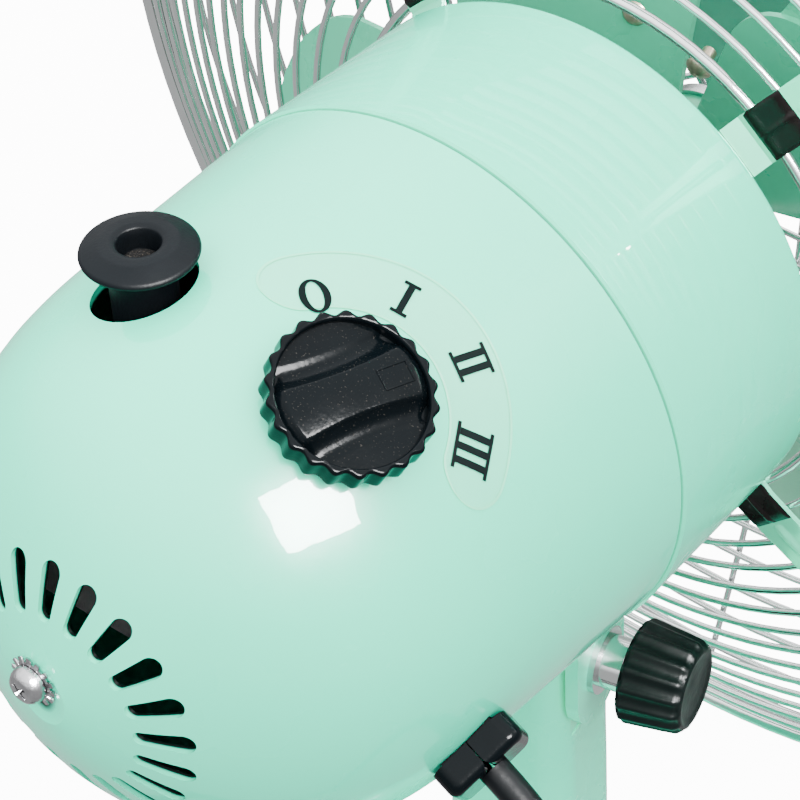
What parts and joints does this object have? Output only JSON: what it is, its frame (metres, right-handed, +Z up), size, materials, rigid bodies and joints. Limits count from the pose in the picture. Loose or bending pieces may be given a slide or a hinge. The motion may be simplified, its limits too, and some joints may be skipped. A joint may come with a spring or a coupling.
{
  "type": "desk fan",
  "caption": "Retro metal desk fan: bullet motor housing on a tilting neck and round base, wire grille, oscillation knob and rotary speed dial.",
  "frame": {"origin": "middle of the rubber ring foot, on the table", "axes": "+Z up, the fan blows towards -Y, the tilt bolt lies along X turned 12 degrees about Z"},
  "size_m": [0.3416, 0.3417, 0.4694],
  "materials": {
    "mint_paint": "gloss",
    "blade_paint": "gloss",
    "steel": "satin",
    "chrome": "polished",
    "black_plastic": "gloss",
    "black_matte": "matte",
    "rubber": "matte",
    "iron": "rough",
    "zinc": "cast",
    "brass": "satin",
    "nylon": "satin",
    "copper": "enamelled wire",
    "clear_label": "clear film",
    "cord_pvc": "satin"
  },
  "bodies": {
    "base": {"base_cover": "mint_paint", "base_plate": "steel", "base_weight": "iron", "foot_ring": "rubber", "base_screws": "steel", "neck": "mint_paint", "neck_screws": "steel", "tilt_nut": "steel", "cord_lower": "cord_pvc", "cord_coil": "cord_pvc", "plug_body": "black_plastic", "plug_pins": "steel"},
    "tilt_screw": {"tilt_knob": "black_plastic", "tilt_bolt": "steel", "tilt_washer": "chrome"},
    "tilt_yoke": {"tilt_block": "mint_paint", "pivot_post": "steel", "link_anchor": "steel", "thrust_washer": "brass", "post_screw": "steel"},
    "head": {"rear_shell": "mint_paint", "front_band": "mint_paint", "rear_lock_washer": "steel", "rear_screw": "steel", "strain_relief": "black_plastic", "motor_front_plate": "zinc", "shaft_bearings": "steel", "stator_core": "steel", "motor_bolts": "steel", "stator_windings": "copper", "motor_rear_frame": "zinc", "gearbox_body": "zinc", "gearbox_lid": "zinc", "gearbox_posts": "steel", "crank_spindle": "steel", "speed_switch": "black_matte", "dial_label": "clear_label", "capacitor": "black_matte", "rear_grille_rings": "chrome", "rear_grille_struts": "chrome", "strut_screws": "steel", "front_grille_rings": "chrome", "front_grille_ribs": "chrome", "centre_badge": "chrome", "rim_clips": "chrome", "cord_upper": "cord_pvc"},
    "rotor": {"rotor_core": "steel", "motor_shaft": "steel", "worm": "steel", "blade_hub": "blade_paint", "blades": "blade_paint", "blade_rivets": "steel", "spinner_nut": "chrome"},
    "worm_gear": {"worm_wheel": "nylon"},
    "clutch": {"clutch_shaft": "steel"},
    "crank": {"crank_gear": "nylon"},
    "link": {"link_bar": "steel"},
    "osc_button": {"osc_knob": "black_matte", "clutch_lifter": "black_matte"},
    "speed_dial": {"speed_knob": "black_plastic"}
  },
  "joints": [
    {"name": "tilt", "type": "hinge", "parent": "base", "child": "tilt_yoke", "pos_m": [0, -0.025, 0.205], "axis": [0.9781, 0.2079, 0], "range_deg": [-22, 12], "deforming": ["cord_lower"]},
    {"name": "tilt_knob_turn", "type": "hinge", "parent": "base", "child": "tilt_screw", "pos_m": [-0.03326, -0.03207, 0.205], "axis": [-0.9781, -0.2079, 0], "range_deg": [-180, 90]},
    {"name": "oscillation", "type": "hinge", "parent": "tilt_yoke", "child": "head", "pos_m": [0, 0.004, 0.265], "axis": [0, 0, 1], "range_deg": [-35, 35], "deforming": ["cord_upper"]},
    {"name": "rotor_spin", "type": "hinge", "parent": "head", "child": "rotor", "pos_m": [0, -0.02, 0.3], "axis": [0, 1, 0], "continuous": true},
    {"name": "worm_wheel_spin", "type": "hinge", "parent": "head", "child": "worm_gear", "pos_m": [0.0156, 0.0619, 0.3], "axis": [0, 0, 1], "continuous": true},
    {"name": "clutch_shaft_turn", "type": "hinge", "parent": "head", "child": "clutch", "pos_m": [0.0156, 0.0619, 0.28], "axis": [0, 0, 1], "range_deg": [-360, 360]},
    {"name": "crank_turn", "type": "hinge", "parent": "head", "child": "crank", "pos_m": [0, 0.04696, 0.26], "axis": [0, 0, 1], "range_deg": [-95, 95]},
    {"name": "link_swing", "type": "hinge", "parent": "tilt_yoke", "child": "link", "pos_m": [-0.012, 0.004, 0.251], "axis": [0, 0, 1], "range_deg": [-40, 40]},
    {"name": "osc_knob_press", "type": "slide", "parent": "head", "child": "osc_button", "axis": [0, 0, -1], "range_m": [0, 0.0038]},
    {"name": "speed_knob_turn", "type": "hinge", "parent": "head", "child": "speed_dial", "pos_m": [-0.02939, 0.0615, 0.34892], "axis": [-0.5112, 0.1225, 0.8507], "range_deg": [-37, 73]}
  ],
  "couplings": [
    {"joint": "worm_wheel_spin", "follows": "rotor_spin", "ratio": 0.033333},
    {"joint": "crank_turn", "follows": "oscillation", "ratio": -2.6298},
    {"joint": "clutch_shaft_turn", "follows": "oscillation", "ratio": 9.9932},
    {"joint": "link_swing", "follows": "oscillation", "ratio": 0.9416}
  ]
}
